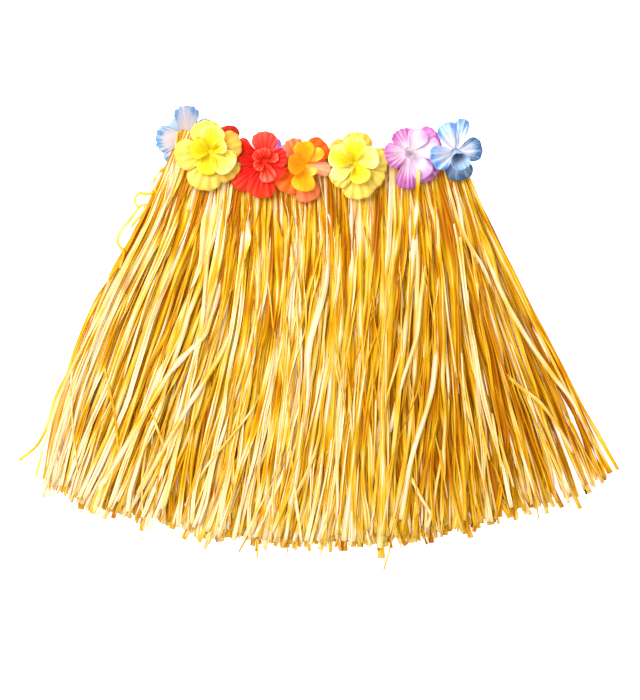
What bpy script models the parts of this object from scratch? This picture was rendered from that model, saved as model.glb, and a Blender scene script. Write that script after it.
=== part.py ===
"""Grass skirt of raffia with flowers round the waist, lying flat on a table.

Each lock of raffia is folded over a loop of flat elastic, and its two legs are stitched through
below the elastic. That stitched heading is the backing that the locks grow from. The flowers are two
corollas of polyester cloth each, sewn to the heading all the way round.

X runs along the waist, +Y from the hem to the waist, and +Z up from the table.
"""
import math
import random
from collections import namedtuple

import bmesh
import bpy

MM = 0.001

# Driving dimensions, in millimetres.
SKIRT_LENGTH = 450.0
HEADING_DEPTH = 28.0
LEG_THICKNESS = 1.8
ELASTIC_WIDTH = 8.0
ELASTIC_THICKNESS = 1.2
CLOTH_THICKNESS = 1.2
CLEARANCE = 0.3

# Heights above the table. The back flowers lie lowest, then the back heading, then the front one.
HEADING_THICKNESS = 2 * (LEG_THICKNESS + CLEARANCE) + ELASTIC_THICKNESS
BACK_INNER_COROLLA_Z = 0.0
BACK_OUTER_COROLLA_Z = BACK_INNER_COROLLA_Z + CLOTH_THICKNESS + CLEARANCE
BACK_HEADING_Z = BACK_OUTER_COROLLA_Z + CLOTH_THICKNESS + CLEARANCE
FRONT_HEADING_Z = BACK_HEADING_Z + HEADING_THICKNESS + CLEARANCE
FRONT_FLOWER_Z = FRONT_HEADING_Z + HEADING_THICKNESS + CLEARANCE

# The legs stay level over the flowers, then settle onto the table and onto each other.
LOCK_THICKNESS = LEG_THICKNESS
LEVEL_UNTIL = 0.17
SETTLED_FROM = 0.32
RESTING_Z = {"back_outer": 0.0, "back_inner": 3.0, "front_inner": 6.0, "front_outer": 9.4}
CROSSING_RISE = 2.6

# How the locks fan out. `along` is the place on the waist from the wearer's side seam at -X (0) to
# the one at +X (1). The lengths down a lock run from the fold (0) to the hem (1).
Guide = namedtuple("Guide", "along fold_y fold_x quarter_x half_x three_quarter_x hem_x hem_y")
GUIDES = [
    Guide(0.000, 237.4, -153.9, -202.0, -254.0, -295.0, -317.0, -160.0),
    Guide(0.117, 226.0, -117.6, -158.0, -207.0, -245.0, -266.0, -194.0),
    Guide(0.245, 214.1, -77.8, -104.0, -138.0, -176.0, -200.0, -209.0),
    Guide(0.392, 207.3, -32.4, -45.0, -62.0, -87.0, -105.0, -230.0),
    Guide(0.538, 212.0, 13.1, 11.5, 1.0, -14.0, -26.0, -238.0),
    Guide(0.659, 215.3, 50.6, 58.0, 55.0, 47.0, 41.0, -236.0),
    Guide(0.795, 215.6, 92.6, 113.0, 123.0, 129.0, 133.0, -221.0),
    Guide(0.905, 214.3, 126.7, 163.0, 195.0, 226.0, 251.0, -192.0),
    Guide(1.000, 213.6, 156.2, 200.0, 246.0, 294.0, 338.0, -152.0),
]

# Slow waves that the locks share as they lie: how wide, and how many across the skirt and down it.
Sway = namedtuple("Sway", "width across down start")
SWAYS = [
    Sway(5.0, 3.2, 1.1, 0.10),
    Sway(3.0, 7.3, -1.7, 0.35),
]
SWAY_FREE_OF_SEAMS = 6.0

# The locks: one slot for each lock in an outer leg. Inner legs fill every second slot.
SLOTS = 72
OUTER_SECTIONS = (LEVEL_UNTIL, SETTLED_FROM, 0.49, 0.66, 0.83, 1.0)
FLOOR_SECTIONS = (LEVEL_UNTIL, SETTLED_FROM, 0.55, 0.78, 1.0)
INNER_SECTIONS = (LEVEL_UNTIL, SETTLED_FROM, 0.66, 1.0)

# Locks that lie across their neighbours: they rise above them first, then drift sideways.
Crossing = namedtuple("Crossing", "slot drift")
CROSSINGS = [
    Crossing(5, 26.0),
    Crossing(13, -24.0),
    Crossing(19, 30.0),
    Crossing(26, -20.0),
    Crossing(33, 24.0),
    Crossing(40, -26.0),
    Crossing(47, 22.0),
    Crossing(54, 30.0),
    Crossing(61, -30.0),
    Crossing(66, 26.0),
]

# Locks whose ends stray from the hem line, by how much, in X and Y.
Stray = namedtuple("Stray", "slot end_x end_y")
STRAYS = [
    Stray(0, -24.0, 20.0),
    Stray(17, -4.0, -9.0),
    Stray(29, 3.0, -8.0),
    Stray(50, 6.0, -31.0),
    Stray(58, 5.0, -10.0),
    Stray(71, 4.0, 1.0),
]

# Flowers. `eye` is where a flower is stitched down, and the rim's centre stands `lean` from it.
# `narrow` is how much its turning away shortens it in X, and `up` how far its rim stands up.
Flower = namedtuple("Flower", "outer inner eye_x eye_y lean_x lean_y radius narrow up turn")
FRONT_FLOWERS = [
    Flower("pale_yellow", "bright_yellow", -121.7, 211.6, -3.3, -5.4, 37.0, 0.98, 11.0, 18.0),
    Flower("red", "red", -63.0, 200.5, -4.0, -4.0, 36.5, 0.82, 15.0, 42.0),
    Flower("orange_red", "amber", -20.0, 197.3, 4.0, -8.0, 34.0, 0.84, 14.0, 6.0),
    Flower("pale_yellow", "bright_yellow", 42.5, 197.3, 1.2, -2.0, 37.0, 0.92, 11.0, 18.0),
    Flower("lilac", "pink_white", 103.0, 209.5, 4.0, -7.0, 34.0, 0.92, 13.0, 12.0),
    Flower("blue", "pale_blue", 151.0, 207.0, 9.0, 4.0, 31.0, 0.84, 13.0, 12.0),
]
BACK_FLOWERS = [
    Flower("blue", "pale_blue", -150.0, 229.0, -1.5, 1.0, 35.5, 1.0, 0.0, 12.0),
    Flower("red", "red", -100.0, 212.0, 0.0, 0.0, 28.0, 1.0, 0.0, 33.0),
    Flower("lilac", "pink_white", -54.0, 197.0, 0.0, 0.0, 29.0, 1.0, 0.0, 66.0),
    Flower("pale_yellow", "bright_yellow", 2.0, 184.0, 0.0, 0.0, 29.0, 1.0, 0.0, 54.0),
    Flower("orange_red", "amber", 58.0, 187.0, 0.0, 0.0, 29.0, 1.0, 0.0, 54.0),
    Flower("pale_yellow", "bright_yellow", 114.0, 187.0, 0.0, 0.0, 29.0, 1.0, 0.0, 54.0),
]
PETALS = 5
PETAL_NOTCH = 0.40
EYE_RADIUS = 5.0
INNER_COROLLA = 0.60
INNER_UP = 1.15

COLOURS = {
    "raffia": (0.87, 0.60, 0.20),
    "elastic": (0.85, 0.80, 0.68),
    "pale_yellow": (0.94, 0.84, 0.30),
    "bright_yellow": (0.98, 0.88, 0.04),
    "red": (0.82, 0.04, 0.02),
    "orange_red": (0.90, 0.20, 0.05),
    "amber": (0.98, 0.50, 0.01),
    "lilac": (0.74, 0.32, 0.66),
    "pink_white": (0.92, 0.78, 0.90),
    "blue": (0.25, 0.45, 0.80),
    "pale_blue": (0.72, 0.82, 0.93),
}
ROUGHNESS = {"raffia": 0.45, "elastic": 0.8}
CLOTH_ROUGHNESS = 0.55


def clear_scene():
    for thing in list(bpy.data.objects):
        bpy.data.objects.remove(thing, do_unlink=True)


def material(name):
    made = bpy.data.materials.get(name)
    if made is None:
        made = bpy.data.materials.new(name)
        made.use_nodes = True
        surface = made.node_tree.nodes["Principled BSDF"]
        surface.inputs["Base Color"].default_value = (*COLOURS[name], 1.0)
        surface.inputs["Roughness"].default_value = ROUGHNESS.get(name, CLOTH_ROUGHNESS)
    return made


def add_object(name, bm, colour):
    """Turn a mesh drawn in millimetres into an object in metres."""
    bmesh.ops.recalc_face_normals(bm, faces=bm.faces)
    if bm.calc_volume(signed=True) < 0.0:
        bmesh.ops.reverse_faces(bm, faces=bm.faces)
    bmesh.ops.scale(bm, vec=(MM, MM, MM), verts=bm.verts)
    mesh = bpy.data.meshes.new(name)
    bm.to_mesh(mesh)
    bm.free()
    mesh.materials.append(material(colour))
    thing = bpy.data.objects.new(name, mesh)
    bpy.context.scene.collection.objects.link(thing)
    return thing


def smooth_between(knots, values, place):
    """A smooth curve through the values at the knots (Catmull-Rom, with uneven knots)."""
    last = len(knots) - 1
    i = 0
    while i < last - 1 and place > knots[i + 1]:
        i += 1
    span = knots[i + 1] - knots[i]
    part = (place - knots[i]) / span

    def slope(k):
        low = max(k - 1, 0)
        high = min(k + 1, last)
        return (values[high] - values[low]) / (knots[high] - knots[low])

    cubed = part ** 3
    squared = part ** 2
    return ((2 * cubed - 3 * squared + 1) * values[i]
            + (cubed - 2 * squared + part) * span * slope(i)
            + (3 * squared - 2 * cubed) * values[i + 1]
            + (cubed - squared) * span * slope(i + 1))


GUIDE_KNOTS = [guide.along for guide in GUIDES]
DOWN_KNOTS = (0.0, 0.25, 0.5, 0.75, 1.0)


def across(field, along):
    return smooth_between(GUIDE_KNOTS, [getattr(guide, field) for guide in GUIDES], along)


def lie(along, down, evenness=0.0):
    """Where a lock lies on the table. Evenness 1 is a plain fan between the two side seams."""
    fields = ("fold_x", "quarter_x", "half_x", "three_quarter_x", "hem_x")
    own = smooth_between(DOWN_KNOTS, [across(field, along) for field in fields], down)
    left = smooth_between(DOWN_KNOTS, [getattr(GUIDES[0], field) for field in fields], down)
    right = smooth_between(DOWN_KNOTS, [getattr(GUIDES[-1], field) for field in fields], down)
    even = left + (right - left) * along
    fold_y = across("fold_y", along)
    hem_y = across("hem_y", along)
    x = own + (even - own) * evenness + sway(along, down)
    return x, fold_y + (hem_y - fold_y) * down


def sway(along, down):
    """How far the shared waves move a lock in X: nothing at the waist and at the side seams."""
    reach = down * min(1.0, SWAY_FREE_OF_SEAMS * along, SWAY_FREE_OF_SEAMS * (1.0 - along))
    total = 0.0
    for wave in SWAYS:
        turns = wave.across * along + wave.down * down + wave.start
        total += wave.width * math.sin(2 * math.pi * turns)
    return total * reach


def down_from_fold(depth):
    return depth / SKIRT_LENGTH


def settle(root_z, resting_z, down):
    part = (down - LEVEL_UNTIL) / (SETTLED_FROM - LEVEL_UNTIL)
    return root_z + (resting_z - root_z) * min(max(part, 0.0), 1.0)


def skin(bm, ring, next_ring):
    """Quads from one closed ring of points to the next."""
    count = len(ring)
    for i in range(count):
        j = (i + 1) % count
        bm.faces.new((ring[i], ring[j], next_ring[j], next_ring[i]))


def slot_edges(seed):
    """Places along the waist where one lock ends and the next begins, unevenly wide."""
    chance = random.Random(seed)
    widths = [chance.uniform(0.72, 1.28) for _ in range(SLOTS)]
    total = sum(widths)
    edges = [0.0]
    for width in widths:
        edges.append(edges[-1] + width / total)
    edges[-1] = 1.0
    return edges


def heading(bm, edges, low_z):
    """The stitched fold over the elastic: a strip folded double, open towards the hem.

    Returns the root faces' corner points for the upper and the lower leg, one set for each slot.
    """
    high_z = low_z + HEADING_THICKNESS
    pocket = LEG_THICKNESS + CLEARANCE
    outline = [
        (HEADING_DEPTH, high_z),
        (0.0, high_z),
        (0.0, low_z),
        (HEADING_DEPTH, low_z),
        (HEADING_DEPTH, low_z + LEG_THICKNESS),
        (pocket, low_z + LEG_THICKNESS),
        (pocket, high_z - LEG_THICKNESS),
        (HEADING_DEPTH, high_z - LEG_THICKNESS),
    ]
    columns = []
    for along in edges:
        column = []
        for depth, z in outline:
            x, y = lie(along, down_from_fold(depth))
            column.append(bm.verts.new((x, y, z)))
        columns.append(column)
    lower_leg, upper_leg = 3, 7
    upper_roots = []
    lower_roots = []
    for slot in range(SLOTS):
        here = columns[slot]
        there = columns[slot + 1]
        for i in range(len(outline)):
            j = (i + 1) % len(outline)
            corners = (here[i], there[i], there[j], here[j])
            if i == upper_leg:
                upper_roots.append(corners)
            elif i == lower_leg:
                lower_roots.append(corners)
            else:
                bm.faces.new(corners)
    bm.faces.new(columns[0])
    bm.faces.new(columns[-1])
    return upper_roots, lower_roots


def lock(bm, root, sections, place, half_width, low_z):
    """One lock of raffia: four-sided, narrower on top, grown from its root face to a cut end."""
    ring = root
    top_share = 0.62
    for down in sections:
        x, y = place(down)
        half = half_width(down)
        bottom = low_z(down)
        top = bottom + LOCK_THICKNESS
        next_ring = [
            bm.verts.new((x - half, y, bottom)),
            bm.verts.new((x + half, y, bottom)),
            bm.verts.new((x + half * top_share, y, top)),
            bm.verts.new((x - half * top_share, y, top)),
        ]
        skin(bm, ring, next_ring)
        ring = next_ring
    bm.faces.new(ring)


def leg(bm, roots, edges, sections, root_z, resting_z, evenness, seed, step=1, crossings=(), strays=()):
    """A layer of locks from one leg of a heading. A step of 2 fills every second slot."""
    chance = random.Random(seed)
    crossing_at = {crossing.slot: crossing for crossing in crossings}
    stray_at = {stray.slot: stray for stray in strays}
    for slot in range(0, SLOTS, step):
        start = edges[slot]
        end = edges[min(slot + step, SLOTS)]
        fill = chance.uniform(0.74, 0.92)
        ragged = chance.uniform(-7.0, 7.0) / SKIRT_LENGTH
        crossing = crossing_at.get(slot)
        stray = stray_at.get(slot)

        def place(down):
            reached = down * (1.0 + ragged) if down == 1.0 else down
            x, y = lie((start + end) / 2, reached, evenness)
            if crossing:
                x += crossing.drift * max(down - SETTLED_FROM, 0.0) / (1.0 - SETTLED_FROM)
            if stray and down == 1.0:
                x += stray.end_x
                y += stray.end_y
            return x, y

        def half_width(down):
            left, _ = lie(start, down, evenness)
            right, _ = lie(end, down, evenness)
            return min(right - left, 13.0) / 2 * fill

        def low_z(down):
            rise = CROSSING_RISE if crossing else 0.0
            return settle(root_z, resting_z + rise, down)

        lock(bm, roots[slot], sections, place, half_width, low_z)


def build_fringe_front():
    bm = bmesh.new()
    edges = slot_edges(seed=3)
    upper_roots, lower_roots = heading(bm, edges, FRONT_HEADING_Z)
    upper_z = FRONT_HEADING_Z + HEADING_THICKNESS - LEG_THICKNESS
    leg(bm, upper_roots, edges, OUTER_SECTIONS, upper_z, RESTING_Z["front_outer"],
        evenness=0.0, seed=11, crossings=CROSSINGS, strays=STRAYS)
    leg(bm, lower_roots, edges, INNER_SECTIONS, FRONT_HEADING_Z, RESTING_Z["front_inner"],
        evenness=0.8, seed=12, step=2)
    close_unused(bm, lower_roots)
    return add_object("fringe_front", bm, "raffia")


def build_fringe_back():
    bm = bmesh.new()
    edges = slot_edges(seed=5)
    upper_roots, lower_roots = heading(bm, edges, BACK_HEADING_Z)
    upper_z = BACK_HEADING_Z + HEADING_THICKNESS - LEG_THICKNESS
    leg(bm, lower_roots, edges, FLOOR_SECTIONS, BACK_HEADING_Z, RESTING_Z["back_outer"],
        evenness=0.6, seed=21)
    leg(bm, upper_roots, edges, INNER_SECTIONS, upper_z, RESTING_Z["back_inner"],
        evenness=0.8, seed=22, step=2)
    close_unused(bm, upper_roots)
    return add_object("fringe_back", bm, "raffia")


def close_unused(bm, roots):
    """Plain ends for the slots of an inner leg that grow no lock."""
    for corners in roots[1::2]:
        bm.faces.new(corners)


def build_elastic():
    """A flat elastic sewn into a loop: one run in each heading, with a bend at each side."""
    low = BACK_HEADING_Z + HEADING_THICKNESS / 2
    high = FRONT_HEADING_Z + HEADING_THICKNESS / 2
    middle = (low + high) / 2
    bend = (high - low) / 2
    half = ELASTIC_THICKNESS / 2
    top_edge = down_from_fold(LEG_THICKNESS + 2.5 * CLEARANCE)
    bottom_edge = top_edge + down_from_fold(ELASTIC_WIDTH)
    run_points = 40
    bend_points = 6
    path = []
    for i in range(run_points + 1):
        path.append((i / run_points, 0.0, high, 0.0))
    for i in range(1, bend_points):
        angle = math.pi * i / bend_points
        path.append((1.0, bend * math.sin(angle), middle + bend * math.cos(angle), angle))
    for i in range(run_points + 1):
        path.append((1.0 - i / run_points, 0.0, low, math.pi))
    for i in range(1, bend_points):
        angle = math.pi * (1 + i / bend_points)
        path.append((0.0, bend * math.sin(angle), middle + bend * math.cos(angle), angle))
    bm = bmesh.new()
    rings = []
    for along, out, z, angle in path:
        ring = []
        for down, side in ((top_edge, 1), (bottom_edge, 1), (bottom_edge, -1), (top_edge, -1)):
            x, y = lie(along, down)
            normal_x = math.sin(angle) * half * side
            normal_z = math.cos(angle) * half * side
            ring.append(bm.verts.new((x + out + normal_x, y, z + normal_z)))
        rings.append(ring)
    for i, ring in enumerate(rings):
        skin(bm, ring, rings[(i + 1) % len(rings)])
    return add_object("waist_elastic", bm, "elastic")


def petal_outline(angle, notch):
    """How far a corolla reaches at an angle, as a share of its radius: rounded petals, deep notches."""
    return 1.0 - notch * (1.0 - abs(math.cos(PETALS * angle / 2)) ** 0.7)


def corolla(name, colour, flower, radius, rim_share, eye_z, up, points_per_petal, middle_ring=True):
    """A ring of joined petals: a flat eye, rising to a scalloped rim."""
    shares = (0.0, 0.55, 1.0) if middle_ring else (0.0, 1.0)
    count = PETALS * points_per_petal
    turn = math.radians(flower.turn)
    facing = math.atan2(flower.lean_y, flower.lean_x)
    tilt = 0.0
    if up:
        tilt = min(math.hypot(flower.lean_x, flower.lean_y) / 12.0, 0.8)
    bm = bmesh.new()

    def ring(share, lift):
        made = []
        for i in range(count):
            angle = 2 * math.pi * i / count
            reach = EYE_RADIUS
            if share > 0.0:
                rim = radius * petal_outline(angle, PETAL_NOTCH)
                reach = EYE_RADIUS + (rim - EYE_RADIUS) * share
            direction = angle + turn
            x = flower.eye_x + flower.lean_x * share * rim_share + reach * math.cos(direction) * flower.narrow
            y = flower.eye_y + flower.lean_y * share * rim_share + reach * math.sin(direction)
            away = 1.0 - tilt * math.cos(direction - facing)
            z = eye_z + up * share ** 1.4 * away + lift
            made.append(bm.verts.new((x, y, z)))
        return made

    under = [ring(share, 0.0) for share in shares]
    over = [ring(share, CLOTH_THICKNESS) for share in reversed(shares)]
    rings = under + over
    for one, other in zip(rings, rings[1:]):
        skin(bm, one, other)
    bm.faces.new(rings[0])
    bm.faces.new(rings[-1])
    thing = add_object(name, bm, colour)
    thing.data.shade_smooth()
    thing.data.set_sharp_from_angle(angle=math.radians(40))
    return thing


def build_front_flowers():
    for number, flower in enumerate(FRONT_FLOWERS, start=1):
        corolla(f"flower_front_{number}_outer", flower.outer, flower, flower.radius, 1.0,
                FRONT_FLOWER_Z, flower.up, points_per_petal=5)
        corolla(f"flower_front_{number}_inner", flower.inner, flower, flower.radius * INNER_COROLLA,
                INNER_COROLLA, FRONT_FLOWER_Z + CLOTH_THICKNESS + CLEARANCE, flower.up * INNER_UP,
                points_per_petal=5, middle_ring=False)


def build_back_flowers():
    for number, flower in enumerate(BACK_FLOWERS, start=1):
        corolla(f"flower_back_{number}_outer", flower.outer, flower, flower.radius, 1.0,
                BACK_OUTER_COROLLA_Z, 0.0, points_per_petal=4, middle_ring=False)
        corolla(f"flower_back_{number}_inner", flower.inner, flower, flower.radius * INNER_COROLLA,
                INNER_COROLLA, BACK_INNER_COROLLA_Z, 0.0, points_per_petal=4, middle_ring=False)


clear_scene()
build_elastic()
build_fringe_back()
build_fringe_front()
build_back_flowers()
build_front_flowers()
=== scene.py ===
"""Grass skirt of raffia on an elastic waist, with cloth flowers sewn round it, lying flat.

Lengths are in millimetres and turn to metres where a mesh is made. X runs along the waist, +Y from the
hem to the waist, and +Z up from the table.
"""
import math
from collections import namedtuple

import bmesh
import bpy
import numpy as np
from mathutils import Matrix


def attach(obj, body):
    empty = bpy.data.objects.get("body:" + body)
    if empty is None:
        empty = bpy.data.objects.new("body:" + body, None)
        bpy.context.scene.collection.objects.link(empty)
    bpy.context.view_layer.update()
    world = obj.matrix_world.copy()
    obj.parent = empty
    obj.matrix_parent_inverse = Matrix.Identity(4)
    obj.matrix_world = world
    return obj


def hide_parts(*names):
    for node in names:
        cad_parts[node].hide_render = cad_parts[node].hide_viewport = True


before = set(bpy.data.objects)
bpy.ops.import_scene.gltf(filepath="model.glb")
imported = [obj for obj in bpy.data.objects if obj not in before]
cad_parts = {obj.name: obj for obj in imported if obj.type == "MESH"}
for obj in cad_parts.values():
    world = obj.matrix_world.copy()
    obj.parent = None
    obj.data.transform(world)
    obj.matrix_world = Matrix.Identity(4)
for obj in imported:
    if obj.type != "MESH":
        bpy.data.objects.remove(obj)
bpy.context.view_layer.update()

MM = 0.001

# ---------------------------------------------------------------------------------------------------
# Waist elastic: a flat woven elastic, sewn into a loop and hidden in the fold of the raffia. It is the
# frame's own node, finished here in undyed polyester over rubber.


def linear(hex_colour):
    """An sRGB hex colour as the linear RGBA that a shader takes."""
    channels = [int(hex_colour[i:i + 2], 16) / 255 for i in (1, 3, 5)]
    return (*[c / 12.92 if c <= 0.04045 else ((c + 0.055) / 1.055) ** 2.4 for c in channels], 1.0)


def add_node(tree, kind, inputs=None, **settings):
    """A shader node with its settings, its input values, and links from other nodes' sockets."""
    node = tree.nodes.new("ShaderNode" + kind)
    for name, value in settings.items():
        setattr(node, name, value)
    for name, value in (inputs or {}).items():
        if isinstance(value, bpy.types.NodeSocket):
            tree.links.new(value, node.inputs[name])
        else:
            node.inputs[name].default_value = value
    return node


def new_material(name):
    """An empty node material, its tree and its output node."""
    made = bpy.data.materials.new(name)
    made.use_nodes = True
    made.node_tree.nodes.clear()
    return made, made.node_tree, add_node(made.node_tree, "OutputMaterial")


# The real cords are 1.2 mm apart. That is too fine to show, so they are drawn at twice that.
CORD_SPACING = 2.4


def woven_elastic():
    """Woven polyester over rubber cords: matt, ribbed along its length."""
    made, tree, output = new_material("woven_elastic")
    place = add_node(tree, "TexCoord")
    # At a scale of 1 the wave texture's bands are 2 pi / 20 of a unit apart.
    ribs = add_node(tree, "TexWave", {"Vector": place.outputs["Object"],
                    "Scale": 2 * math.pi / (20 * CORD_SPACING * MM), "Distortion": 0.6},
                    bands_direction="Y")
    relief = add_node(tree, "Bump", {"Height": ribs.outputs["Fac"], "Strength": 0.4, "Distance": 0.3 * MM})
    surface = add_node(tree, "BsdfPrincipled", {"Base Color": linear("#DCD0AC"), "Roughness": 0.85,
                       "IOR": 1.5, "Normal": relief.outputs["Normal"]})
    tree.links.new(surface.outputs["BSDF"], output.inputs["Surface"])
    return made


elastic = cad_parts["waist_elastic"]
elastic_finish = woven_elastic()
for slot in elastic.material_slots:
    slot.material = elastic_finish

# ---------------------------------------------------------------------------------------------------
# Raffia: thin ribbons of dyed palm leaf, about 45 cm from fold to hem. Each is folded over the elastic
# and stitched below it, so it has two legs. The back half lies in two layers, the front half over it in
# three, then come the widest ribbons, and narrow ones are folded round the elastic's two bends.

SKIRT_LENGTH = 450.0
# How deep the bend of a fold is, and the lowest and highest points of the folded headings. The front
# heading lies on the back one, and the ribbons at the two bends go round both.
FOLD_RADIUS = 2.6
FRONT_HEADING = (8.7, 14.1)
BACK_HEADING = (3.0, 8.4)
SIDE_HEADING = (3.4, 14.1)
# Shares of the length: what is stitched into the heading, how far down a ribbon stays as high as the
# heading, and from where on it has settled to the height of its own layer.
STITCHED = 0.06
LEVEL_UNTIL = 0.17
SETTLED_FROM = 0.32

# How the ribbons fan out: where one lies that is folded at `along`, the place on the waist from one
# side seam (0) to the other (1). The places down a ribbon run from the fold (0) to the hem (1).
Guide = namedtuple("Guide", "along fold_y fold_x quarter_x half_x three_quarter_x hem_x")
GUIDES = [
    Guide(0.000, 237.4, -153.9, -202.0, -258.0, -298.0, -320.0),
    Guide(0.117, 226.0, -117.6, -130.1, -161.9, -201.6, -249.4),
    Guide(0.180, 220.1, -98.3, -110.8, -136.9, -171.0, -205.0),
    Guide(0.245, 214.1, -77.8, -88.0, -102.8, -126.7, -150.5),
    Guide(0.310, 211.1, -57.4, -59.6, -67.6, -86.9, -113.0),
    Guide(0.392, 207.3, -32.4, -30.1, -35.8, -52.8, -76.7),
    Guide(0.538, 212.0, 13.1, 11.9, 1.7, -10.8, -27.8),
    Guide(0.659, 215.3, 50.6, 48.3, 41.5, 36.9, 34.6),
    Guide(0.795, 215.6, 92.6, 96.0, 88.0, 77.8, 71.0),
    Guide(0.865, 214.8, 113.0, 127.8, 128.9, 122.1, 115.3),
    Guide(0.905, 214.3, 126.7, 139.2, 147.1, 155.1, 164.2),
    Guide(0.935, 214.1, 135.8, 155.1, 166.4, 183.5, 206.2),
    Guide(0.965, 213.9, 146.0, 174.4, 199.1, 228.5, 260.3),
    Guide(1.000, 213.6, 156.2, 200.0, 248.0, 296.0, 338.0),
]

# The line the hem is trimmed to, as places across the skirt and how far up each one is.
HEM_X = np.array([-320.0, -260.0, -200.5, -105.1, -25.6, 41.5, 133.5, 250.5, 347.0])
HEM_Y = np.array([-168.0, -195.0, -209.0, -229.5, -238.5, -238.3, -229.0, -200.0, -159.0])

# A layer of ribbons: the solid it dresses, how many there are, the seed of its random draws, the heading
# it starts from, whether it is the upper leg there, and the lowest and highest it settles to. Then how
# even its fan is, how far its ends wander sideways and lengthwise, its narrowest and widest ribbon, the
# share of the width that has split off by the hem, and how much paler it is painted under the fold and all
# the way down (darker, below zero). Both are painted shade on the lower ribbons and layers, which lie in
# shadow, and painted light on the upper ones and at the sides.
Layer = namedtuple("Layer", "name node count seed heading upper low high "
                            "evenness wander ragged narrow wide split fold_pale pale")
# The last two numbers of each layer are painted shade and light: the lower layers, and the lower ribbons
# under the fold, are painted darker.
LAYERS = [
    Layer("raffia_back_outer", "fringe_back", 190, 41, BACK_HEADING, False, 0.6, 2.6,
          0.6, 9.0, 5.0, 5.0, 9.5, 0.1, -0.52, -0.22),
    Layer("raffia_back_inner", "fringe_back", 120, 42, BACK_HEADING, True, 2.6, 4.6,
          0.8, 9.0, 5.0, 5.0, 9.5, 0.1, -0.52, -0.22),
    Layer("raffia_front_inner", "fringe_front", 170, 43, FRONT_HEADING, False, 4.8, 7.2,
          0.7, 9.0, 5.5, 4.5, 9.0, 0.1, -0.52, -0.18),
    Layer("raffia_front_middle", "fringe_front", 230, 44, FRONT_HEADING, True, 7.2, 9.8,
          0.35, 9.0, 5.0, 3.0, 7.5, 0.2, -0.52, -0.1),
    Layer("raffia_front_outer", "fringe_front", 190, 45, FRONT_HEADING, True, 9.8, 12.8,
          0.0, 8.0, 5.0, 2.6, 6.5, 0.2, -0.52, 0.03),
    Layer("raffia_front_top", "fringe_front", 62, 48, FRONT_HEADING, True, 12.6, 14.0,
          0.0, 6.0, 5.0, 6.0, 10.5, 0.42, -0.16, 0.14),
    Layer("raffia_sides", "fringe_front", 26, 49, SIDE_HEADING, True, 9.0, 11.0,
          0.0, 2.0, 5.0, 3.0, 5.0, 0.2, -0.52, 0.1),
]


def curve_through(knots, values, places):
    """Smooth curves through rows of values at the knots (Catmull-Rom, with uneven knots)."""
    knots = np.asarray(knots)
    last = len(knots) - 1
    low = np.maximum(np.arange(last + 1) - 1, 0)
    high = np.minimum(np.arange(last + 1) + 1, last)
    slopes = (values[..., high] - values[..., low]) / (knots[high] - knots[low])
    at = np.clip(np.searchsorted(knots, places) - 1, 0, last - 1)
    span = knots[at + 1] - knots[at]
    part = (places - knots[at]) / span
    squared = part ** 2
    cubed = part ** 3

    def taken(rows, where):
        return np.take_along_axis(rows, where, axis=-1)

    return ((2 * cubed - 3 * squared + 1) * taken(values, at)
            + (cubed - 2 * squared + part) * span * taken(slopes, at)
            + (3 * squared - 2 * cubed) * taken(values, at + 1)
            + (cubed - squared) * span * taken(slopes, at + 1))


GUIDE_KNOTS = np.array([guide.along for guide in GUIDES])
GUIDE_FIELDS = np.array([guide[1:] for guide in GUIDES]).T
# The places down a ribbon that a guide's columns stand for.
DOWN_KNOTS = np.array([0.0, 0.25, 0.5, 0.75, 1.0])


def lie(along, down, evenness):
    """Where ribbons lie on the table: a row for each ribbon and a column for each place down it.

    An even fan spreads all its ribbons alike between the two side edges, whatever the guides say.
    """
    places = np.broadcast_to(along, (len(GUIDE_FIELDS), len(along)))
    fields = curve_through(GUIDE_KNOTS, GUIDE_FIELDS, places)
    fold_y, own = fields[0], fields[1:].T
    side = GUIDE_FIELDS[1:, 0]
    other_side = GUIDE_FIELDS[1:, -1]
    even = side + (other_side - side) * along[:, None]
    spread = own + (even - own) * evenness
    hem_y = np.interp(spread[:, -1], HEM_X, HEM_Y)
    x = curve_through(DOWN_KNOTS, spread, down)
    y = fold_y[:, None] + (hem_y - fold_y)[:, None] * down
    return x, y


def waves(chance, count, down, shortest, longest, size):
    """Slow random waves along each ribbon, in three lengths."""
    total = np.zeros((count, down.shape[-1]))
    for share in (0.6, 0.3, 0.2):
        length = chance.uniform(shortest, longest, (count, 1)) / SKIRT_LENGTH
        start = chance.uniform(0.0, 2 * math.pi, (count, 1))
        strength = chance.normal(0.0, size * share, (count, 1))
        total += strength * np.sin(2 * math.pi * down / length + start)
    return total


def meander(chance, count, down, bends, angle, first=0.08):
    """Sideways path of ribbons that bend a little at random places and come back to their lane."""
    total = np.zeros((count, down.shape[-1]))
    for _ in range(bends):
        bend_at = chance.uniform(first, 0.95, (count, 1))
        slope = chance.normal(0.0, angle, (count, 1)) * SKIRT_LENGTH
        total += slope * (np.maximum(down - bend_at, 0.0) - np.maximum(down, 0.0) * (1.0 - bend_at))
    return total


def half_turns(chance, count, down, most):
    """How far flat ribbons have rolled over, at up to so many places, in radians."""
    total = np.zeros((count, down.shape[-1]))
    for _ in range(most):
        turn_at = chance.uniform(0.05, 1.05, (count, 1))
        length = chance.uniform(0.06, 0.22, (count, 1))
        way = chance.choice([-1.0, 0.0, 1.0], (count, 1))
        part = np.clip((down - turn_at) / length + 0.5, 0.0, 1.0)
        total += way * math.pi * part * part * (3.0 - 2.0 * part)
    return total


def add_object(name, data):
    """An object in the scene, with its mesh, lamp or camera."""
    made = bpy.data.objects.new(name, data)
    bpy.context.scene.collection.objects.link(made)
    return made


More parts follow.
